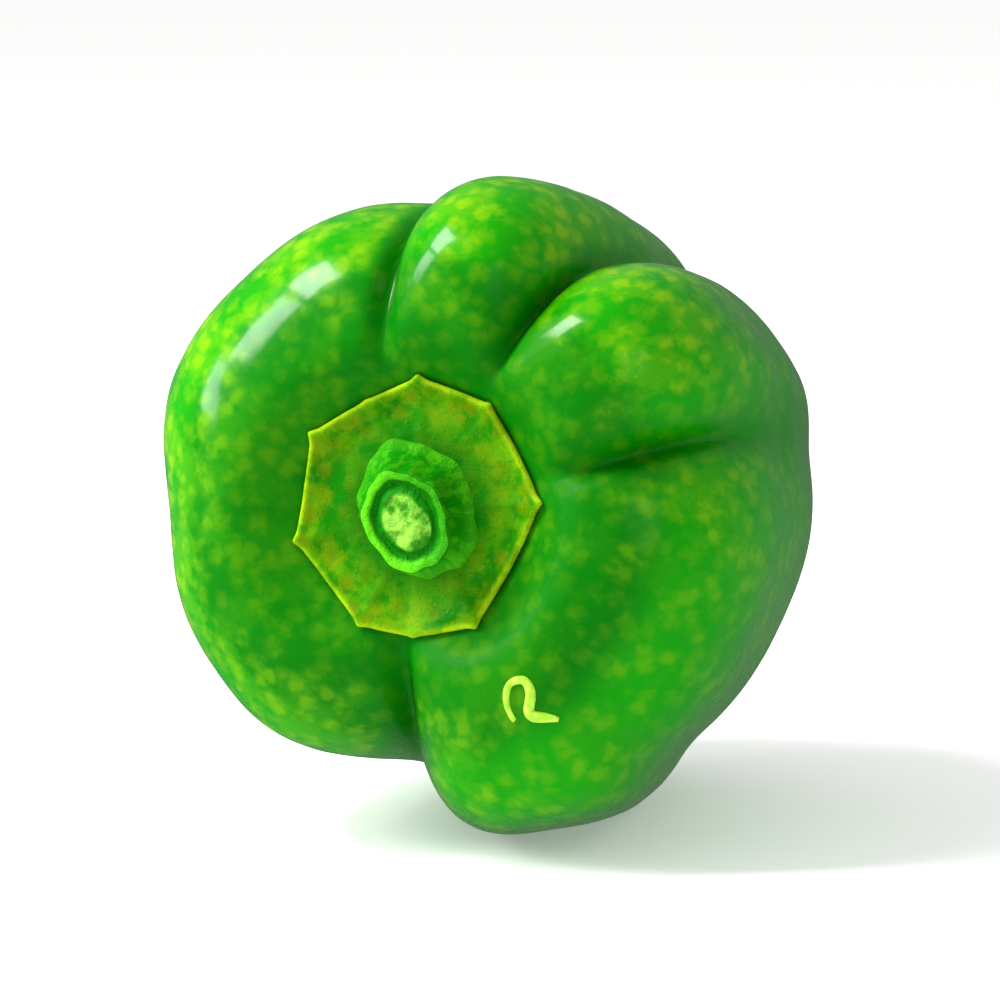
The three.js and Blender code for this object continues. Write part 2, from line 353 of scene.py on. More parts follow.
@dataclass
class Laying:
    """How the fruit lies: its stem axis pitched up, and the whole set into the shared frame."""

    pitch_deg: float = 8.0
    flat_softness: float = 0.18
    shift: np.ndarray = field(default_factory=lambda: np.zeros(3))

    @property
    def turn(self) -> np.ndarray:
        """The turn from the fruit's frame, +Z along the stem, to the shared frame."""
        return np.array(Matrix.Rotation(math.radians(90 - self.pitch_deg), 3, "X"))

    def fit(self, skin: np.ndarray) -> None:
        """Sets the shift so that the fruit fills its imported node's box.

        Args:
            skin: points all over the skin, in the fruit's frame.
        """
        laid = skin @ self.turn.T
        low, high = (np.array(corner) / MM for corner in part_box(Node.FRUIT.value))
        middle = (low + high - laid.min(axis=0) - laid.max(axis=0)) / 2
        top = high[2] - laid[:, 2].max()
        self.shift = np.array([middle[0], middle[1], top])

    def place(self, points: np.ndarray) -> np.ndarray:
        """Lays points down and presses them flat where they would pass the ground.

        Args:
            points: points in the fruit's frame, in millimetres.

        Returns:
            The same points in the shared frame, in metres.
        """
        laid = points @ self.turn.T + self.shift
        height = laid[:, 2]
        softness = self.flat_softness
        laid[:, 2] = softness * np.logaddexp(0, height / softness)
        laid[:, 2] = np.where(height > 8 * softness, height, laid[:, 2])
        return laid * MM

    def spot(self, point: Sequence[float]) -> Vector:
        """One point of the fruit's frame in the shared frame."""
        return Vector((np.array(point) @ self.turn.T + self.shift) * MM)


def wave(points: np.ndarray, size: float, layer: int = 0) -> np.ndarray:
    """Smooth unevenness, the same on every run.

    Args:
        points: where to read it, in millimetres.
        size: distance between one hump and the next.
        layer: a whole number that sets one unevenness apart from another.

    Returns:
        A height for each point, from about -1 to 1.
    """
    aside = Vector((17.3, 5.1, 9.7)) * layer
    return np.array([noise.noise(Vector(point) / size + aside) for point in points])


# ---------------------------------------------------------------------------------------------
# Making meshes
# ---------------------------------------------------------------------------------------------


def read_points(bm: bmesh.types.BMesh) -> np.ndarray:
    """The places of a bmesh's vertices, one in each row."""
    return np.array([vert.co[:] for vert in bm.verts])


def write_points(bm: bmesh.types.BMesh, points: np.ndarray) -> None:
    """Moves the vertices of a bmesh to new places."""
    for vert, point in zip(bm.verts, points):
        vert.co = point


def spun(outline: Iterable[Sequence[float]], steps: int) -> bmesh.types.BMesh:
    """A closed solid made by turning an outline around Z.

    Args:
        outline: distance from the axis and height of each point; its ends lie on the axis.
        steps: how many faces it has around.

    Returns:
        The solid, with its faces pointing outwards.
    """
    bm = bmesh.new()
    verts = [bm.verts.new((out, 0, height)) for out, height in outline]
    edges = [bm.edges.new(pair) for pair in zip(verts, verts[1:])]
    bmesh.ops.spin(
        bm,
        geom=verts + edges,
        cent=(0, 0, 0),
        axis=(0, 0, 1),
        angle=FULL_TURN,
        steps=steps,
        use_merge=True,
    )
    bmesh.ops.remove_doubles(bm, verts=bm.verts, dist=1e-6)
    bmesh.ops.recalc_face_normals(bm, faces=bm.faces)
    return bm


def finished(bm: bmesh.types.BMesh, name: str, marks: dict[str, np.ndarray]) -> bpy.types.Object:
    """Turns a bmesh into a piece of the scene.

    Args:
        bm: the finished shape, in the shared frame; it is freed.
        name: the piece's name.
        marks: values for each vertex, kept as attributes of the mesh for its material.

    Returns:
        The piece, at the origin.
    """
    mesh = bpy.data.meshes.new(name)
    bm.to_mesh(mesh)
    bm.free()
    mesh.shade_smooth()
    for mark, values in marks.items():
        attribute = mesh.attributes.new(mark, "FLOAT", "POINT")
        attribute.data.foreach_set("value", values.astype(np.float32))
    piece = bpy.data.objects.new(name, mesh)
    bpy.context.scene.collection.objects.link(piece)
    return piece


def dressed(piece: bpy.types.Object, material: bpy.types.Material) -> None:
    """Gives a piece its material and lets it ride on the one body.

    Args:
        piece: the piece to dress.
        material: what it is made of.
    """
    piece.data.materials.append(material)
    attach(piece, "root")


# ---------------------------------------------------------------------------------------------
# Making materials
# ---------------------------------------------------------------------------------------------


class Shader:
    """A short way to add and join the nodes of one material or node group."""

    def __init__(self, tree: bpy.types.NodeTree) -> None:
        """Keeps the tree that nodes are added to."""
        self.tree = tree

    def add(self, kind: str, **settings: object) -> bpy.types.Node:
        """Adds a node.

        Args:
            kind: the node's type.
            settings: values for the node's own properties.

        Returns:
            The new node.
        """
        node = self.tree.nodes.new(kind)
        for name, value in settings.items():
            setattr(node, name, value)
        return node

    def put(self, value: object, socket: bpy.types.NodeSocket) -> None:
        """Joins an output to a socket, or sets the socket where the value is a plain one.

        Args:
            value: an output, or a plain value.
            socket: the input that takes it.
        """
        if isinstance(value, bpy.types.NodeSocket):
            self.tree.links.new(value, socket)
        else:
            socket.default_value = value

    def calc(self, operation: str, *values: object) -> bpy.types.NodeSocket:
        """The result of one sum.

        Args:
            operation: the name of the sum.
            values: the numbers or outputs that go into it, in order.

        Returns:
            The result.
        """
        node = self.add("ShaderNodeMath", operation=operation)
        for value, socket in zip(values, node.inputs):
            self.put(value, socket)
        return node.outputs[0]

    def times(self, first: object, *others: object) -> bpy.types.NodeSocket:
        """Several numbers or outputs multiplied together.

        Args:
            first: the first of them.
            others: the rest.

        Returns:
            Their product.
        """
        for other in others:
            first = self.calc("MULTIPLY", first, other)
        return first

    def mix(self, share: object, first: object, second: object) -> bpy.types.NodeSocket:
        """A colour between two colours.

        Args:
            share: 0 for the first, 1 for the second.
            first: a colour or an output.
            second: a colour or an output.

        Returns:
            The mixed colour.
        """
        node = self.add("ShaderNodeMix", data_type="RGBA")
        self.put(share, node.inputs["Factor"])
        colours = [socket for socket in node.inputs if socket.type == "RGBA"]
        for value, socket in zip((first, second), colours):
            self.put((*value, 1.0) if isinstance(value, tuple) else value, socket)
        return next(socket for socket in node.outputs if socket.type == "RGBA")

    def span(
        self, value: object, low: float, high: float, start: float = 0, end: float = 1
    ) -> bpy.types.NodeSocket:
        """Maps a value from one range onto another, smoothly at both ends.

        Args:
            value: the output to map.
            low: where the first range starts.
            high: where the first range ends.
            start: what low becomes.
            end: what high becomes.

        Returns:
            The mapped value.
        """
        node = self.add("ShaderNodeMapRange", interpolation_type="SMOOTHSTEP")
        self.put(value, node.inputs["Value"])
        limits = zip(("From Min", "From Max", "To Min", "To Max"), (low, high, start, end))
        for name, limit in limits:
            node.inputs[name].default_value = limit
        return node.outputs["Result"]

    def cloud(
        self, place: object, size: object, detail: float = 3, rough: float = 0.55
    ) -> bpy.types.NodeSocket:
        """Soft patches of noise.

        Args:
            place: the coordinate to read.
            size: patches in a metre.
            detail: how many finer layers it has.
            rough: how strong those layers are.

        Returns:
            A value around 0.5.
        """
        node = self.add("ShaderNodeTexNoise")
        self.put(place, node.inputs["Vector"])
        self.put(size, node.inputs["Scale"])
        node.inputs["Detail"].default_value = detail
        node.inputs["Roughness"].default_value = rough
        return node.outputs["Fac"]

    def cells(self, place: object, size: object) -> bpy.types.NodeSocket:
        """How far away the middle of the nearest of many scattered cells is.

        Args:
            place: the coordinate to read.
            size: cells in a metre.

        Returns:
            The distance, as a share of a cell.
        """
        node = self.add("ShaderNodeTexVoronoi")
        self.put(place, node.inputs["Vector"])
        self.put(size, node.inputs["Scale"])
        return node.outputs["Distance"]

    def mark(self, name: str) -> bpy.types.NodeSocket:
        """The value of one of the mesh's attributes."""
        return self.add("ShaderNodeAttribute", attribute_name=name).outputs["Fac"]

    def place(self, stretch: Sequence[float], turn_deg: float) -> bpy.types.NodeSocket:
        """Object coordinates turned so that Z runs along the stem, then stretched.

        Args:
            stretch: how much finer a pattern is along each axis.
            turn_deg: the turn about X.

        Returns:
            The coordinate.
        """
        coordinate = self.add("ShaderNodeTexCoord").outputs["Object"]
        turned = self.add("ShaderNodeMapping")
        turned.inputs["Rotation"].default_value = (math.radians(turn_deg), 0, 0)
        self.put(coordinate, turned.inputs["Vector"])
        stretched = self.add("ShaderNodeMapping")
        stretched.inputs["Scale"].default_value = stretch
        self.put(turned.outputs["Vector"], stretched.inputs["Vector"])
        return stretched.outputs["Vector"]

    def group(self, tree: bpy.types.NodeTree, **values: object) -> bpy.types.Node:
        """Places a node group.

        Args:
            tree: the group.
            values: a number or an output for each of its inputs.

        Returns:
            The node that stands for the group.
        """
        node = self.add("ShaderNodeGroup", node_tree=tree)
        for name, value in values.items():
            self.put(value, node.inputs[name])
        return node

    def bump(self, height: object, depth: float, under: object = None) -> bpy.types.NodeSocket:
        """A normal that shows a height.

        Args:
            height: the height, from 0 to 1.
            depth: what a height of 1 stands for, in metres.
            under: another normal that this one is added to.

        Returns:
            The normal.
        """
        node = self.add("ShaderNodeBump")
        node.inputs["Distance"].default_value = depth
        self.put(height, node.inputs["Height"])
        if under is not None:
            self.put(under, node.inputs["Normal"])
        return node.outputs["Normal"]


def new_group(name: str, inputs: dict[str, str], outputs: Sequence[str]) -> Shader:
    """An empty node group with named sockets.

    Args:
        name: the group's name.
        inputs: the type of each input socket.
        outputs: the names of its outputs, which are all plain values.

    Returns:
        A shader whose tree is the group, with its input and output nodes in place.
    """
    tree = bpy.data.node_groups.new(name, "ShaderNodeTree")
    for socket, kind in inputs.items():
        tree.interface.new_socket(socket, in_out="INPUT", socket_type=kind)
    for socket in outputs:
        tree.interface.new_socket(socket, in_out="OUTPUT", socket_type="NodeSocketFloat")
    shader = Shader(tree)
    shader.add("NodeGroupInput", name="given")
    shader.add("NodeGroupOutput", name="result")
    return shader


@dataclass(frozen=True)
class Pattern:
    """How fine the shared effects are on one finish, in features to a metre; depth in metres."""

    clouds: float
    spots: float
    flecks: float
    dimples: float
    pores: float
    depth: float


class PlantEffects:
    """Effects that the skin, the calyx, the stem and the scars share, built once."""

    def __init__(self) -> None:
        """Builds each node group."""
        self.mottle = self._mottle()
        self.grain = self._grain()

    def _mottle(self) -> bpy.types.NodeTree:
        """Cloudy patches, soft ragged spots, and small flecks.

        Returns:
            The group, with a value for each of the three.
        """
        sizes = ("Clouds", "Spots", "Flecks")
        kinds = {"Vector": "NodeSocketVector", **{size: "NodeSocketFloat" for size in sizes}}
        shader = new_group("plant_mottle", kinds, ("Patches", "Dots", "Specks"))
        given = shader.tree.nodes["given"].outputs
        result = shader.tree.nodes["result"].inputs
        cloud = shader.cloud(given["Vector"], given["Clouds"], detail=3, rough=0.6)
        shader.put(shader.span(cloud, 0.38, 0.62), result["Patches"])
        ragged = shader.cloud(given["Vector"], given["Flecks"], detail=2)
        spots = shader.cells(given["Vector"], given["Spots"])
        spots = shader.calc("ADD", spots, shader.times(ragged, 0.8))
        shader.put(shader.span(spots, 1.06, 0.54), result["Dots"])
        flecks = shader.cells(given["Vector"], given["Flecks"])
        shader.put(shader.span(flecks, 0.24, 0.1), result["Specks"])
        return shader.tree

    def _grain(self) -> bpy.types.NodeTree:
        """The relief of plant tissue: shallow dimples and much finer pores.

        Returns:
            The group, with one height.
        """
        sizes = ("Dimples", "Pores")
        kinds = {"Vector": "NodeSocketVector", **{size: "NodeSocketFloat" for size in sizes}}
        shader = new_group("plant_grain", kinds, ("Height",))
        given = shader.tree.nodes["given"].outputs
        result = shader.tree.nodes["result"].inputs
        dimples = shader.cloud(given["Vector"], given["Dimples"], detail=1)
        pores = shader.span(shader.cells(given["Vector"], given["Pores"]), 0.0, 0.35)
        height = shader.calc("ADD", shader.times(dimples, 0.75), shader.times(pores, 0.25))
        shader.put(height, result["Height"])
        return shader.tree

    def mottled(
        self, shader: Shader, place: object, pattern: Pattern
    ) -> tuple[bpy.types.NodeSocket, bpy.types.NodeSocket, bpy.types.NodeSocket]:
        """Places the mottle in a material.

        Args:
            shader: the material.
            place: the coordinate that the mottle reads.
            pattern: how fine it is.

        Returns:
            Its patches, its dots and its specks.
        """
        sizes = {"Clouds": pattern.clouds, "Spots": pattern.spots, "Flecks": pattern.flecks}
        outputs = shader.group(self.mottle, Vector=place, **sizes).outputs
        return outputs["Patches"], outputs["Dots"], outputs["Specks"]

    def grained(self, shader: Shader, place: object, pattern: Pattern) -> bpy.types.NodeSocket:
        """Places the grain in a material.

        Args:
            shader: the material.
            place: the coordinate that the grain reads.
            pattern: how fine it is.

        Returns:
            Its height, from 0 to 1.
        """
        sizes = {"Dimples": pattern.dimples, "Pores": pattern.pores}
        return shader.group(self.grain, Vector=place, **sizes).outputs["Height"]


def new_material(name: str) -> tuple[bpy.types.Material, Shader, bpy.types.Node]:
    """A material with nothing joined to its main shader yet.

    Args:
        name: the material's name.

    Returns:
        The material, its shader tree, and the Principled node in that.
    """
    material = bpy.data.materials.new(name)
    material.use_nodes = True
    return material, Shader(material.node_tree), material.node_tree.nodes["Principled BSDF"]


def paint(red: int, green: int, blue: int) -> Colour:
    """A colour given as it looks on a screen, made ready for a shader.

    Args:
        red: its red part, from 0 to 255.
        green: its green part.
        blue: its blue part.

    Returns:
        The same colour in linear light.
    """
    shares = (channel / 255 for channel in (red, green, blue))
    return tuple(
        ((share + 0.055) / 1.055) ** 2.4 if share > 0.04 else share / 12.92 for share in shares
    )


@dataclass(frozen=True)
class SkinFinish:
    """The waxy skin: green, clouded and dotted yellow green on crests, with painted deep-green
    shade in grooves.
    """

    effects: PlantEffects
    along_stem_deg: float
    # deep is the painted shade colour: the skin's grooves, narrow ends and throat are painted this
    # dark green.
    deep: Colour = paint(1, 108, 1)
    leaf: Colour = paint(8, 140, 1)
    warm: Colour = paint(74, 160, 1)
    bright: Colour = paint(132, 180, 1)
    pattern: Pattern = Pattern(150.0, 400.0, 900.0, dimples=300.0, pores=700.0, depth=0.00006)
    long_spots: tuple[float, float, float] = (1.0, 1.0, 0.7)
    blotches: float = 30.0
    specular: float = 0.05
    coat_roughness: float = 0.12

    def material(self) -> bpy.types.Material:
        """Makes the skin's material.

        Returns:
            The material, which reads the marks for the grooves, the crests, the throat and the side
            towards the key lamps.
        """
        material, shader, main = new_material("pepper_skin")
        place = shader.place(self.long_spots, -self.along_stem_deg)
        patches, dots, specks = self.effects.mottled(shader, place, self.pattern)
        broad = shader.span(shader.cloud(place, self.blotches, detail=1), 0.36, 0.64)
        groove = shader.mark("groove")
        crest = shader.mark("crest")
        throat = shader.mark("throat")
        # Painted shade: deep green where the crest mark is low, between the lobes and towards the
        # ends; leaf green on the crests as painted light.
        base = shader.mix(shader.span(crest, 0.05, 0.7), self.deep, self.leaf)
        # Painted light: the yellow cover grows towards the key lamps' side, on top of the skin's
        # own random yellow blotches.
        ripe_and_lit = shader.calc("ADD", shader.times(broad, 0.5), shader.mark("lamp_side"))
        # Painted light and shade: the yellow mottling is thicker on the crests and thinned in the
        # grooves.
        on_crest = shader.span(crest, 0, 0.9, 0.35, 1.0)
        outside = shader.span(groove, 0, 1, 1.0, 0.15)
        cover = shader.times(shader.span(ripe_and_lit, 0.15, 1.35, 0.12, 0.95), on_crest, outside)
        clouds = shader.times(shader.span(patches, 0, 1, 0.1, 0.9), cover)
        base = shader.mix(clouds, base, self.warm)
        strong = shader.span(cover, 0, 1, 0.2, 0.66)
        dotted = shader.times(dots, strong, shader.span(patches, 0, 1, 0.45, 1.0))
        base = shader.mix(dotted, base, self.bright)
        base = shader.mix(shader.times(specks, clouds, 0.3), base, self.bright)
        # Painted shade: the grooves and the throat round the calyx are darkened towards deep green.
        shade = shader.calc("MAXIMUM", shader.times(groove, 0.6), shader.times(throat, 0.5))
        base = shader.mix(shade, base, self.deep)
        shader.put(base, main.inputs["Base Color"])

        uneven = shader.span(patches, 0, 1, 0.26, 0.31)
        dull = shader.span(throat, 0, 0.7, 0, 0.3)
        shader.put(shader.calc("ADD", uneven, dull), main.inputs["Roughness"])
        main.inputs["Specular IOR Level"].default_value = self.specular
        main.inputs["Coat Roughness"].default_value = self.coat_roughness
        bare = shader.span(throat, 0, 0.6, 1.0, 0.05)
        waxy = shader.times(shader.span(broad, 0, 1, 0.26, 0.36), bare)
        shader.put(waxy, main.inputs["Coat Weight"])
        grain = self.effects.grained(shader, place, self.pattern)
        shader.put(shader.bump(grain, self.pattern.depth), main.inputs["Normal"])
        return material


@dataclass(frozen=True)
class CalyxFinish:
    """The calyx: a matt green leaf, yellow and warm towards its margin, with a pale edge; dark
    round the stem, partly its own colour and partly painted shade.
    """

    effects: PlantEffects
    along_stem_deg: float
    # inner is dark green round the stem's foot: partly the calyx's own darker middle, partly
    # painted shade of the stem.
    inner: Colour = paint(5, 100, 1)
    green: Colour = paint(20, 120, 1)
    yellow: Colour = paint(96, 154, 2)
    warm: Colour = paint(128, 134, 2)
    edge: Colour = paint(170, 204, 18)
    pattern: Pattern = Pattern(280.0, 420.0, 900.0, dimples=480.0, pores=2100.0, depth=0.0003)
    specular: float = 0.04

    def material(self) -> bpy.types.Material:
        """Makes the calyx's material.

        Returns:
            The material, which reads the marks named out, rib and lip.
        """
        material, shader, main = new_material("pepper_calyx")
        place = shader.place((1.0, 1.0, 1.0), -self.along_stem_deg)
        patches, dots, specks = self.effects.mottled(shader, place, self.pattern)
        out = shader.mark("out")
        # Darker towards the stem: the calyx's own inner green with painted shade round the stem's
        # foot.
        base = shader.mix(shader.span(out, 0.45, 0.85), self.inner, self.green)
        cover = shader.span(out, 0.5, 1.0, 0.12, 0.85)
        base = shader.mix(shader.times(patches, cover), base, self.yellow)
        base = shader.mix(shader.times(dots, cover, 0.6), base, self.warm)
        base = shader.mix(shader.times(shader.mark("rib"), 0.12), base, self.yellow)
        base = shader.mix(shader.times(specks, cover, 0.15), base, self.edge)
        rim = shader.times(shader.mark("lip"), shader.span(patches, 0, 1, 0.5, 0.9))
        base = shader.mix(rim, base, self.edge)
        shader.put(base, main.inputs["Base Color"])
        shader.put(shader.span(patches, 0, 1, 0.44, 0.56), main.inputs["Roughness"])
        main.inputs["Specular IOR Level"].default_value = self.specular
        grain = self.effects.grained(shader, place, self.pattern)
        shader.put(shader.bump(grain, self.pattern.depth), main.inputs["Normal"])
        return material


@dataclass(frozen=True)
class StemFinish:
    """The stem: a fibrous green side and a pale, moist cut whose rim is painted brighter on its
    left as painted light.
    """

    effects: PlantEffects
    along_stem_deg: float
    side: Colour = paint(12, 124, 2)
    streak: Colour = paint(84, 178, 14)
    rim: Colour = paint(84, 190, 16)
    ring: Colour = paint(14, 118, 4)
    pith: Colour = paint(134, 196, 64)
    spot: Colour = paint(20, 124, 5)
    pattern: Pattern = Pattern(460.0, 700.0, 1500.0, dimples=900.0, pores=2600.0, depth=0.0004)
    fibres: float = 900.0
    fibre_stretch: float = 0.12
    fibre_depth: float = 0.00007
    specular: float = 0.06

    def material(self) -> bpy.types.Material:
        """Makes the stem's material.

        Returns:
            The material, which reads the marks named cut, rim, pith and foot.
        """
        material, shader, main = new_material("pepper_stem")
        along = shader.place((1.0, 1.0, self.fibre_stretch), -self.along_stem_deg)
        place = shader.place((1.0, 1.0, 1.0), -self.along_stem_deg)
        patches, _, _ = self.effects.mottled(shader, place, self.pattern)
        lines = shader.span(shader.cloud(along, self.fibres, detail=2), 0.45, 0.62)
        side = shader.mix(shader.times(lines, 0.35), self.side, self.streak)
        side = shader.mix(shader.times(shader.mark("foot"), 0.3), side, self.streak)
        # The rim mark carries a painted highlight, brightest on the stem's left.
        face = shader.mix(shader.mark("rim"), self.ring, self.rim)
        spots = shader.calc("SUBTRACT", 1.0, patches)
        pith = shader.mix(shader.times(spots, 0.9), self.pith, self.spot)
        face = shader.mix(shader.mark("pith"), face, pith)
        shader.put(shader.mix(shader.mark("cut"), side, face), main.inputs["Base Color"])
        shader.put(shader.span(patches, 0, 1, 0.4, 0.58), main.inputs["Roughness"])
        main.inputs["Specular IOR Level"].default_value = self.specular
        rough_cut = shader.span(shader.mark("cut"), 0, 1, 0.3, 1.0)
        raised = shader.times(self.effects.grained(shader, place, self.pattern), rough_cut)
        ridged = shader.bump(lines, self.fibre_depth)
        shader.put(shader.bump(raised, self.pattern.depth, ridged), main.inputs["Normal"])
        return material


@dataclass(frozen=True)
class CorkFinish:
    """Healed tissue: a raised, dry scar, much paler than the skin around it."""

    name: str
    effects: PlantEffects
    pale: Colour
    dark: Colour
    pattern: Pattern = Pattern(900.0, 1200.0, 2400.0, dimples=1400.0, pores=3200.0, depth=0.0002)
    specular: float = 0.3

    def material(self) -> bpy.types.Material:
        """Makes the material of one kind of scar.

        Returns:
            The material.
        """
        material, shader, main = new_material(self.name)
        place = shader.place((1.0, 1.0, 1.0), 0)
        patches, _, _ = self.effects.mottled(shader, place, self.pattern)
        shader.put(shader.mix(patches, self.dark, self.pale), main.inputs["Base Color"])
        shader.put(shader.span(patches, 0, 1, 0.45, 0.6), main.inputs["Roughness"])
        main.inputs["Specular IOR Level"].default_value = self.specular
        grain = self.effects.grained(shader, place, self.pattern)
        shader.put(shader.bump(grain, self.pattern.depth), main.inputs["Normal"])
        return material


# ---------------------------------------------------------------------------------------------
# The pieces
# ---------------------------------------------------------------------------------------------


@dataclass
class Fruit:
    """The fruit's skin, one closed surface from the cavity round the stem to the blossom end."""

    form: FruitForm
    laying: Laying
    cuts: int = 119
    swell: float = 0.22
    swell_size: float = 11.0
    ripple: float = 0.05
    ripple_size: float = 3.2
    # Direction towards the key lamps; the skin on this side is painted yellower as painted light.
    lamp_side_direction: tuple[float, float, float] = (-0.76, 0.4, 0.51)

    def build(self) -> bpy.types.Object:
        """Pushes a finely divided cube out to the skin.

        Returns:
            The skin, laid in its place.
        """
        bm = bmesh.new()
        bmesh.ops.create_cube(bm, size=2)
        bmesh.ops.subdivide_edges(bm, edges=bm.edges, cuts=self.cuts, use_grid_fill=True)
        spread = np.tan(np.clip(read_points(bm), -1, 1) * math.pi / 4)
        dirs = spread / np.linalg.norm(spread, axis=1)[:, None]
        reach, groove = self.form.measure(dirs)
        skin = dirs * reach[:, None]
        self.laying.fit(skin)
        from_stem = np.degrees(np.arccos(np.clip(dirs[:, 2], -1, 1)))
        loose = soft_step(from_stem, 24, 34)
        uneven = self.swell * wave(skin, self.swell_size)
        uneven += self.ripple * wave(skin, self.ripple_size, 1)
        skin = skin + dirs * (uneven * loose)[:, None]
        write_points(bm, self.laying.place(skin))
        bmesh.ops.recalc_face_normals(bm, faces=bm.faces)
        marks = {
            "groove": groove,
            # crest and throat also set painted shade in the skin's colour.
            "crest": self._crest(dirs, reach),
            "throat": 1 - soft_step(from_stem, 26, 36),
            # The side towards the key lamps, which the skin's colour paints yellower as painted
            # light.
            "lamp_side": soft_step(dirs @ np.array(self.lamp_side_direction), -0.5, 0.75),
        }
        return finished(bm, "fruit_skin", marks)

    def _crest(self, dirs: np.ndarray, reach: np.ndarray) -> np.ndarray:
        """How far each part of the skin stands out from the flesh between the lobes.

        Args:
            dirs: unit directions of the skin's points.
            reach: their distances from the fruit's middle.

        Returns:
            A share from 0 in the grooves to 1 on the crests.
        """
        away = reach * np.sqrt(1 - np.clip(dirs[:, 2], -1, 1) ** 2)
        return soft_step(away, self.form.core_radius - 2, self.form.lobe_reach)

    def dress(self, piece: bpy.types.Object, finish: SkinFinish) -> None:
        """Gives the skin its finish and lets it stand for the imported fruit."""
        dressed(piece, finish.material())
        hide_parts(Node.FRUIT.value)


@dataclass
class SkinMap:
    """Heights of the skin around the stem, measured once on rings and read between them."""

    form: FruitForm
    bearings: int = 120
    rings: int = 30
    radius: float = 18.0
    table: np.ndarray = field(init=False)

    def __post_init__(self) -> None:
        """Measures the skin on every ring."""
        bearing = np.arange(self.bearings) * FULL_TURN / self.bearings
        distance = np.linspace(0.01, self.radius, self.rings)
        around, out = np.meshgrid(bearing, distance)
        points = self.form.over((out * np.cos(around)).ravel(), (out * np.sin(around)).ravel())
        self.table = points[:, 2].reshape(self.rings, self.bearings)

    def height(self, x: np.ndarray, y: np.ndarray) -> np.ndarray:
        """The skin's height over places beside the stem axis.

        Args:
            x: distance to the right of the stem axis.
            y: distance above the stem axis.

        Returns:
            One height for each place.
        """
        turn = np.mod(np.arctan2(y, x), FULL_TURN) / FULL_TURN * self.bearings
        ring = np.clip(np.hypot(x, y) / self.radius, 0, 0.9999) * (self.rings - 1)
        column, row = turn.astype(int), ring.astype(int)
        aside, outward = turn - column, ring - row
        first, second = column % self.bearings, (column + 1) % self.bearings
        inner = self.table[row, first] * (1 - aside) + self.table[row, second] * aside
        outer = self.table[row + 1, first] * (1 - aside) + self.table[row + 1, second] * aside
        return inner * (1 - outward) + outer * outward


@dataclass(frozen=True)
class Corner:
    """One corner of the calyx: how far it and its small tip stand past the calyx's radius."""

    bearing_deg: float
    beyond: float
    tip: float


CALYX_CORNERS = (
    Corner(5, 0.1, 0.45),
    Corner(56, 0.0, 0.2),
    Corner(91, 0.3, 0.3),
    Corner(119, -0.9, 0.1),
    Corner(148, 0.4, 0.3),
    Corner(197, 0.2, 0.3),
    Corner(245, 0.2, 0.2),
    Corner(270, -0.1, 0.1),
    Corner(302, 0.6, 0.3),
)


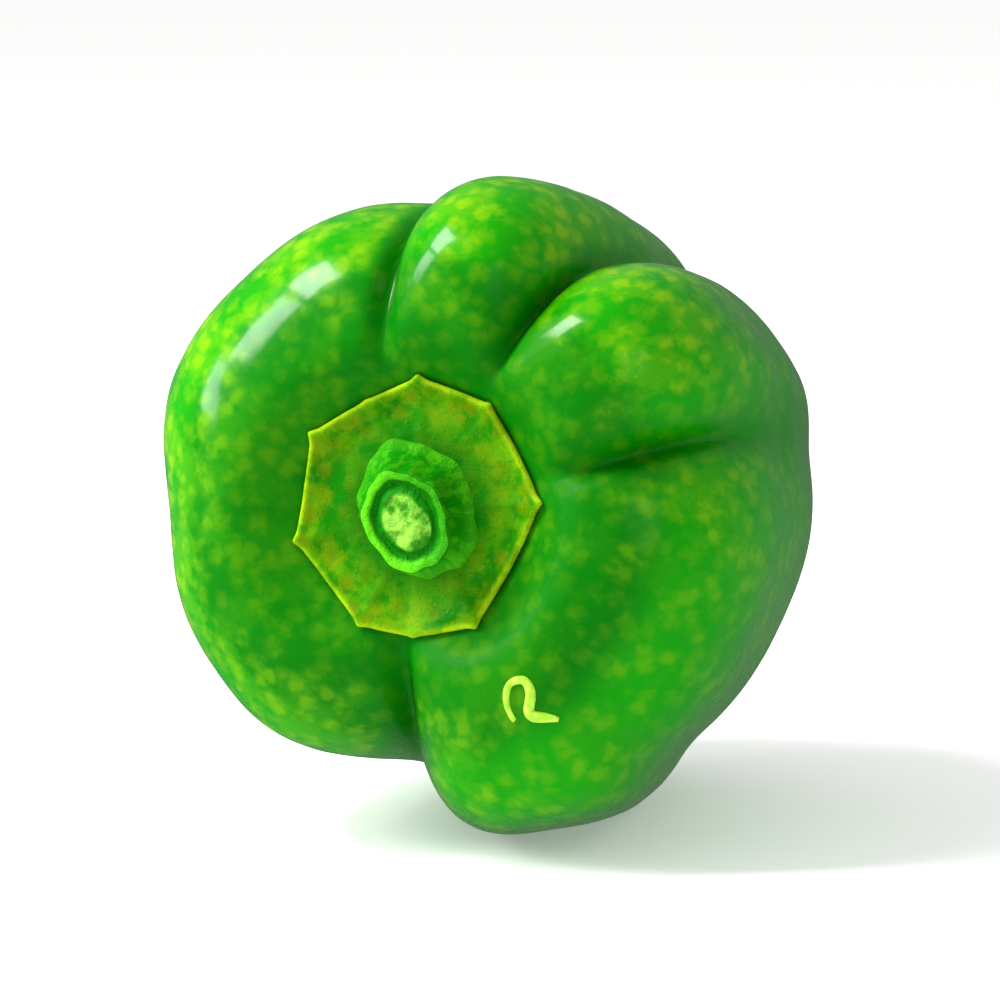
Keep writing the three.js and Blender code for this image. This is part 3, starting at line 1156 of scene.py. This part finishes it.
@dataclass
class Calyx:
    """The leafy cap that the stem grows from, dished into the cavity."""

    form: FruitForm
    laying: Laying
    skin: SkinMap
    corners: tuple[Corner, ...] = CALYX_CORNERS
    around: int = 432
    under_rows: int = 12
    top_rows: int = 56
    bury: float = 0.12
    thickness: float = 2.15
    edge_thickness: float = 1.15
    edge_hollow: float = -0.006
    tip_width_deg: float = 2.6
    inset: float = 0.55
    lip_height: float = 0.3
    rib_height: float = 0.14
    rib_width_deg: float = 5.0

    def edge(self, bearing: np.ndarray) -> np.ndarray:
        """The calyx's outline.

        Args:
            bearing: angles around the stem axis, in radians.

        Returns:
            Its distance from the stem axis at each bearing.
        """
        radius = self.form.cavity.calyx_radius - self.inset
        turn = np.mod(bearing, FULL_TURN)
        out = np.zeros(len(turn))
        following = [*self.corners[1:], self.corners[0]]
        for here, ahead in zip(self.corners, following):
            start = math.radians(here.bearing_deg)
            span = math.radians((ahead.bearing_deg - here.bearing_deg) % 360)
            along = np.mod(turn - start, FULL_TURN)
            inside = along <= span
            near, far = radius + here.beyond, radius + ahead.beyond
            slack = near * np.sin(along) + far * np.sin(span - along)
            chord = near * far * math.sin(span) / np.where(inside, slack, 1)
            chord = chord * (1 - self.edge_hollow * np.sin(math.pi * along / span))
            out = np.where(inside, chord, out)
        for corner in self.corners:
            out += corner.tip * bell(self._apart(turn, corner), 0, self.tip_width_deg)
        return out

    @staticmethod
    def _apart(turn: np.ndarray, corner: Corner) -> np.ndarray:
        """Degrees between each bearing and a corner, from -180 to 180."""
        return np.mod(np.degrees(turn) - corner.bearing_deg + 180, 360) - 180

    def _ribs(self, turn: np.ndarray, share: np.ndarray) -> np.ndarray:
        """The ribs that run out to the corners.

        Args:
            turn: bearings around the stem axis, in radians.
            share: how far out each place is, from 0 to 1 at the edge.

        Returns:
            A share from 0 between the ribs to 1 along them.
        """
        ribs = np.zeros(len(turn))
        for corner in self.corners:
            width = self.rib_width_deg * (1.6 - share)
            ribs = np.maximum(ribs, bell(self._apart(turn, corner) / width, 0, 1))
        return ribs * soft_step(share, 0.3, 0.6) * (1 - soft_step(share, 0.9, 1.0))

    def top(self, x: np.ndarray, y: np.ndarray) -> np.ndarray:
        """The calyx's upper face, without its ribs and lip.

        Args:
            x: distance to the right of the stem axis.
            y: distance above the stem axis.

        Returns:
            One height for each place.
        """
        share = np.clip(np.hypot(x, y) / self.edge(np.arctan2(y, x)), 0, 1)
        thick = blend(self.thickness, self.edge_thickness, share**4)
        return self.skin.height(x, y) - self.bury + thick

    def _outline(self) -> list[tuple[float, float]]:
        """The section of the leaf.

        Returns:
            Points with the share of the way out, and the level from 0 below to 1 on top.
        """
        round_off = self.edge_thickness / 2 / self.form.cavity.calyx_radius
        under = [((row / self.under_rows) ** 0.6, 0.0) for row in range(self.under_rows)]
        under = [(out * (1 - round_off), level) for out, level in under]
        turns = [math.pi * step / 10 for step in range(11)]
        rim = [(1 - round_off * (1 - math.sin(t)), 0.5 - 0.5 * math.cos(t)) for t in turns]
        back = [1 - (row / self.top_rows) for row in range(1, self.top_rows + 1)]
        top = [(out**0.8 * (1 - round_off), 1.0) for out in back]
        return [*under, *rim, *top]

    def build(self) -> bpy.types.Object:
        """Spins the calyx's section and lays it over the cavity.

        Returns:
            The calyx, laid in its place.
        """
        bm = spun(self._outline(), self.around)
        points = read_points(bm)
        share = np.hypot(points[:, 0], points[:, 1])
        turn = np.mod(np.arctan2(points[:, 1], points[:, 0]), FULL_TURN)
        level = points[:, 2].copy()
        out = share * self.edge(turn)
        x, y = out * np.cos(turn), out * np.sin(turn)
        thick = blend(self.thickness, self.edge_thickness, np.clip(share, 0, 1) ** 4)
        ribs = self._ribs(turn, share)
        lip = bell(share, 0.955, 0.045)
        flat = np.stack([x, y, np.zeros(len(x))], -1)
        crumple = 0.28 * wave(flat, 5.0, 2) + 0.1 * wave(flat, 1.7, 3)
        relief = self.rib_height * ribs + self.lip_height * lip
        relief += crumple * soft_step(share, 0.35, 0.7)
        height = self.skin.height(x, y) - self.bury + level * (thick + relief)
        write_points(bm, self.laying.place(np.stack([x, y, height], -1)))
        bmesh.ops.recalc_face_normals(bm, faces=bm.faces)
        pale_edge = bell(share, 1.0, 0.035) * soft_step(level, 0, 0.6)
        return finished(bm, "calyx_cap", {"out": share, "rib": ribs * level, "lip": pale_edge})

    def dress(self, piece: bpy.types.Object, finish: CalyxFinish) -> None:
        """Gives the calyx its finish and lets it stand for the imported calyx."""
        dressed(piece, finish.material())
        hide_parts(Node.CALYX.value)


def rounded(points: Sequence[Sequence[float]], passes: int) -> list[tuple[float, float]]:
    """Cuts the corners of an outline until it is smooth; its two ends stay.

    Args:
        points: the outline's corners.
        passes: how often each corner is cut.

    Returns:
        The smoothed outline.
    """
    outline = [tuple(point) for point in points]
    for _ in range(passes):
        cut = [outline[0]]
        for (a, b), (c, d) in zip(outline, outline[1:]):
            cut.append((0.75 * a + 0.25 * c, 0.75 * b + 0.25 * d))
            cut.append((0.25 * a + 0.75 * c, 0.25 * b + 0.75 * d))
        outline = [*cut, outline[-1]]
    return outline


@dataclass
class Stem:
    """The stub of the stem: an oval stalk with a flared foot, cut off square."""

    laying: Laying
    calyx: Calyx
    length: float = 7.5
    long_radius: float = 6.2
    short_radius: float = 4.9
    oval_deg: float = 125.0
    bend: float = 1.9
    bend_deg: float = 308.0
    around: int = 240
    bury: float = 0.5
    ridges: int = 5
    ridge_height: float = 0.035
    rim_depth: float = 0.8
    # Painted highlight: the bearing at which the cut's rim is painted brightest.
    lit_side_deg: float = 75.0

    def _outline(self) -> list[tuple[float, float]]:
        """The section of the stalk.

        Returns:
            Points with the share of the stalk's radius, and the height above the calyx.
        """
        end = self.length
        foot = [(0, -self.bury), (0.8, -self.bury), (1.36, -self.bury), (1.38, -0.1), (1.27, 0.55)]
        side = [(1.13, 1.3), (1.04, 2.3), (1.0, 3.4), (0.985, 4.6), (0.985, 5.6), (1.0, 6.5)]
        lip = [(1.015, end - 0.55), (0.995, end - 0.02), (0.93, end + 0.06), (0.84, end - 0.02)]
        ring = [(0.79, end - 0.45), (0.74, end - self.rim_depth), (0.66, end - self.rim_depth)]
        pith = [(0.6, end - 0.4), (0.52, end - 0.1), (0.4, end - 0.05), (0.2, end - 0.12)]
        return rounded([*foot, *side, *lip, *ring, *pith, (0, end - 0.15)], 3)

    def build(self) -> bpy.types.Object:
        """Spins the stalk's section, makes it oval and ridged, and bends it.

        Returns:
            The stem, laid in its place.
        """
        bm = spun(self._outline(), self.around)
        points = read_points(bm)
        share = np.hypot(points[:, 0], points[:, 1])
        turn = np.arctan2(points[:, 1], points[:, 0])
        height = points[:, 2].copy()
        up = np.clip(height / self.length, 0, 1)
        cut = soft_step(height, self.length - 1.2, self.length - 0.9)
        cut = cut * (1 - soft_step(share, 0.97, 1.0))

        ridged = np.cos(self.ridges * turn + 0.8) + 0.5 * np.cos((2 * self.ridges + 1) * turn + 2.1)
        grown = 1 + self.ridge_height * ridged * soft_step(share, 0.5, 0.95)
        wide = share * grown
        x = wide * self.long_radius * np.cos(turn)
        y = wide * self.short_radius * np.sin(turn)
        oval = math.radians(self.oval_deg)
        across = x * math.cos(oval) - y * math.sin(oval)
        along = x * math.sin(oval) + y * math.cos(oval)

        face = np.stack([across, along, np.zeros(len(x))], -1)
        pith = (1 - soft_step(share + 0.14 * wave(face, 2.8, 8), 0.5, 0.62)) * cut
        lumps = 0.75 * wave(face, 2.4, 4) + 0.3 * wave(face, 1.0, 5)
        nicks = 0.12 * wave(face, 1.3, 6)
        height = height + lumps * pith + nicks * cut * (1 - pith)
        seat = self.calyx.top(across, along) * (1 - up)
        seat += self.calyx.top(np.zeros(1), np.zeros(1)) * up
        lean = math.radians(self.bend_deg)
        across = across + self.bend * up**2 * math.cos(lean)
        along = along + self.bend * up**2 * math.sin(lean)
        write_points(bm, self.laying.place(np.stack([across, along, seat + height], -1)))
        bmesh.ops.recalc_face_normals(bm, faces=bm.faces)
        # Painted highlight: the rim of the cut is painted bright on the side towards the lamps and
        # dimmer round the rest.
        lit_side = soft_step(np.cos(turn - math.radians(self.lit_side_deg)), -0.7, 0.5)
        rim = soft_step(share, 0.76, 0.83) * cut * blend(0.25, 1, lit_side)
        marks = {"cut": cut, "rim": rim, "pith": pith, "foot": 1 - soft_step(up, 0.02, 0.22)}
        return finished(bm, "stem_stub", marks)

    def dress(self, piece: bpy.types.Object, finish: StemFinish) -> None:
        """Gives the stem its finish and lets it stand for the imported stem."""
        dressed(piece, finish.material())
        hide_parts(Node.STEM.value)


CURL: tuple[tuple[float, float, float], ...] = (
    (-1.9, -2.45, 0.3),
    (-2.75, -1.3, 0.36),
    (-3.0, 0.43, 0.4),
    (-2.65, 1.77, 0.42),
    (-1.8, 2.25, 0.46),
    (-0.93, 2.35, 0.5),
    (-0.26, 1.68, 0.58),
    (0.0, 0.5, 0.62),
    (-0.26, -0.6, 0.62),
    (-0.35, -1.6, 0.66),
    (0.5, -2.06, 0.7),
    (1.66, -1.96, 0.62),
    (3.1, -2.25, 0.3),
)


@dataclass
class SkinMarks:
    """Healed marks: a curled scar below the calyx and the corky button at the blossom end.

    The curl is given by points right of and above its middle, with the strand's radius.
    """

    form: FruitForm
    laying: Laying
    curl: tuple[tuple[float, float, float], ...] = CURL
    curl_bearing_deg: float = 307.5
    curl_from_stem_deg: float = 32.2
    faces_azimuth_deg: float = 19.0
    faces_elevation_deg: float = 8.0
    button_radius: float = 2.3

    def _onto_skin(self, x: float, y: float) -> np.ndarray:
        """Finds the skin behind a place on a flat sheet that faces the curl.

        Args:
            x: distance to the right of the curl's middle.
            y: distance above it.

        Returns:
            The point of the skin, in the fruit's frame.
        """
        azimuth = math.radians(self.faces_azimuth_deg)
        elevation = math.radians(self.faces_elevation_deg)
        towards = np.array([math.sin(azimuth), -math.cos(azimuth), 0]) * math.cos(elevation)
        towards[2] = math.sin(elevation)
        right = np.array([math.cos(azimuth), math.sin(azimuth), 0])
        above = np.cross(towards, right)
        turn = self.laying.turn.T
        towards, right, above = turn @ towards, turn @ right, turn @ above
        bearing = np.array([math.radians(self.curl_bearing_deg)])
        centre = directions(bearing, np.array([math.radians(self.curl_from_stem_deg)]))[0]
        point = centre * self.form.measure(centre[None])[0][0] + x * right + y * above
        for _ in range(6):
            distance = np.linalg.norm(point)
            facing = point / distance
            gap = self.form.measure(facing[None])[0][0] - distance
            point = point + towards * gap / max(facing @ towards, 0.2)
        return point

    def build_curl(self) -> bpy.types.Object:
        """Draws the curled scar as a tapering strand, half sunk in the skin.

        Returns:
            The scar, as a mesh in its place.
        """
        curve = bpy.data.curves.new("skin_scar", "CURVE")
        curve.dimensions = "3D"
        curve.bevel_depth = MM
        curve.bevel_resolution = 5
        curve.resolution_u = 8
        curve.use_fill_caps = True
        line = curve.splines.new("NURBS")
        line.points.add(len(self.curl) - 1)
        line.order_u = 4
        line.use_endpoint_u = True
        for knot, (x, y, radius) in zip(line.points, self.curl):
            point = self._onto_skin(x, y)
            knot.co = (*self.laying.spot(point * (1 + 0.05 / np.linalg.norm(point))), 1)
            knot.radius = radius
        drawn = bpy.data.objects.new("skin_scar_line", curve)
        mesh = bpy.data.meshes.new_from_object(drawn)
        bpy.data.objects.remove(drawn)
        bm = bmesh.new()
        bm.from_mesh(mesh)
        bpy.data.meshes.remove(mesh)
        bmesh.ops.remove_doubles(bm, verts=bm.verts, dist=1e-6)
        bmesh.ops.recalc_face_normals(bm, faces=bm.faces)
        return finished(bm, "skin_scar", {})

    def build_button(self) -> bpy.types.Object:
        """Makes the corky button where the flower sat.

        Returns:
            The button, in the dimple at the blossom end.
        """
        corners = [(0, -0.6), (0.75, -0.6), (1.0, -0.2), (0.9, 0.35), (0.62, 0.5), (0.42, 0.25)]
        corners += [(0.2, 0.3), (0.1, 0.75), (0, 0.8)]
        bm = spun(rounded(corners, 3), 72)
        points = read_points(bm)
        turn = np.arctan2(points[:, 1], points[:, 0])
        ragged = 1 + 0.07 * np.cos(5 * turn) + 0.04 * np.cos(11 * turn + 1)
        down = np.array([[0.0, 0.0, -1.0]])
        tip = self.form.measure(down)[0][0]
        out = self.button_radius * ragged
        button = np.stack([points[:, 0] * out, -points[:, 1] * out, -(tip + points[:, 2])], -1)
        button[:, 2] += 0.12 * wave(button, 1.1, 7)
        write_points(bm, self.laying.place(button))
        bmesh.ops.recalc_face_normals(bm, faces=bm.faces)
        return finished(bm, "blossom_button", {})

    def dress(self, piece: bpy.types.Object, finish: CorkFinish) -> None:
        """Gives a mark its finish."""
        dressed(piece, finish.material())


# ---------------------------------------------------------------------------------------------
# The studio
# ---------------------------------------------------------------------------------------------


@dataclass(frozen=True)
class Lamp:
    """A square soft lamp aimed at the fruit, in metres and watts."""

    name: str
    at: tuple[float, float, float]
    size: float
    power: float


STUDIO_LAMPS = (
    Lamp("key_near", (-0.46, -0.30, 0.40), 0.20, 2.5),
    Lamp("key_high", (-0.30, -0.20, 0.56), 0.22, 3.9),
    Lamp("key_low", (-0.58, -0.20, 0.22), 0.15, 1.0),
    Lamp("fill", (0.60, -0.60, 0.40), 0.50, 0.4),
)


@dataclass
class Studio:
    """A pale floor, soft light and the camera."""

    azimuth_deg: float = 19.0
    elevation_deg: float = 8.0
    distance: float = 0.933
    lens: float = 280.0
    aside: float = -0.0021
    look_height: float = 0.0378
    floor_size: float = 18.0
    floor_glow: float = 0.26
    sky: float = 1.0
    diffuse_sky: float = 0.72
    mirrored_sky: float = 0.2
    lamps: tuple[Lamp, ...] = STUDIO_LAMPS

    def build_floor(self) -> None:
        """Lays the floor."""
        bm = bmesh.new()
        bmesh.ops.create_grid(bm, x_segments=2, y_segments=2, size=self.floor_size / 2)
        floor = finished(bm, "floor", {})
        material, shader, main = new_material("studio_floor")
        shader.put((0.9, 0.9, 0.89, 1), main.inputs["Base Color"])
        main.inputs["Roughness"].default_value = 0.9
        main.inputs["Specular IOR Level"].default_value = 0.0
        main.inputs["Emission Color"].default_value = (1, 1, 1, 1)
        main.inputs["Emission Strength"].default_value = self.floor_glow
        floor.data.materials.append(material)
        floor.visible_glossy = False

    def light(self, centre: Vector) -> None:
        """Hangs the lamps and brightens the surroundings.

        Args:
            centre: the point the lamps are aimed at.
        """
        world = bpy.data.worlds.new("studio")
        bpy.context.scene.world = world
        world.use_nodes = True
        shader = Shader(world.node_tree)
        background = world.node_tree.nodes["Background"].inputs
        background["Color"].default_value = (1, 1, 1, 1)
        rays = shader.add("ShaderNodeLightPath").outputs
        seen = shader.times(rays["Is Camera Ray"], self.sky - self.diffuse_sky)
        mirrored = shader.times(rays["Is Glossy Ray"], self.mirrored_sky - self.diffuse_sky)
        both = shader.calc("ADD", seen, mirrored)
        shader.put(shader.calc("ADD", both, self.diffuse_sky), background["Strength"])
        for lamp in self.lamps:
            light = bpy.data.lights.new(lamp.name, "AREA")
            light.size = lamp.size
            light.energy = lamp.power
            hung = bpy.data.objects.new(lamp.name, light)
            hung.location = lamp.at
            hung.rotation_euler = (centre - hung.location).to_track_quat("-Z", "Y").to_euler()
            bpy.context.scene.collection.objects.link(hung)

    def place_camera(self) -> None:
        """Sets the camera before the stem end, a little to its right and above."""
        azimuth, elevation = math.radians(self.azimuth_deg), math.radians(self.elevation_deg)
        back = Vector((math.sin(azimuth), -math.cos(azimuth), 0)) * math.cos(elevation)
        back.z = math.sin(elevation)
        low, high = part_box(Node.FRUIT.value)
        target = (low + high) / 2
        target += Vector((math.cos(azimuth), math.sin(azimuth), 0)) * self.aside
        target.z = self.look_height
        camera = bpy.data.objects.new("camera", bpy.data.cameras.new("camera"))
        camera.data.lens = self.lens
        camera.location = target + back * self.distance
        camera.rotation_euler = (-back).to_track_quat("-Z", "Y").to_euler()
        bpy.context.scene.collection.objects.link(camera)
        bpy.context.scene.camera = camera
        bpy.context.scene.view_settings.view_transform = "Standard"


def main() -> None:
    """Builds the bell pepper and its studio."""
    logging.basicConfig(level=logging.INFO, format="%(name)s: %(message)s")
    form = FruitForm()
    laying = Laying()
    effects = PlantEffects()
    along = 90 - laying.pitch_deg

    fruit = Fruit(form, laying)
    skin = fruit.build()
    fruit.dress(skin, SkinFinish(effects, along))

    calyx = Calyx(form, laying, SkinMap(form))
    cap = calyx.build()
    calyx.dress(cap, CalyxFinish(effects, along))

    stem = Stem(laying, calyx)
    stub = stem.build()
    stem.dress(stub, StemFinish(effects, along))

    marks = SkinMarks(form, laying)
    scar = marks.build_curl()
    marks.dress(scar, CorkFinish("healed_scar", effects, paint(190, 240, 70), paint(150, 214, 40)))
    button = marks.build_button()
    marks.dress(button, CorkFinish("blossom_cork", effects, paint(150, 140, 70), paint(92, 84, 36)))

    studio = Studio()
    studio.build_floor()
    studio.light(Vector((0, 0, 0.04)))
    studio.place_camera()

    for piece in (skin, cap, stub, scar, button):
        piece.data.calc_loop_triangles()
        log.info("%s: %d triangles", piece.name, len(piece.data.loop_triangles))
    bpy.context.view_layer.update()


if __name__ == "__main__":
    main()
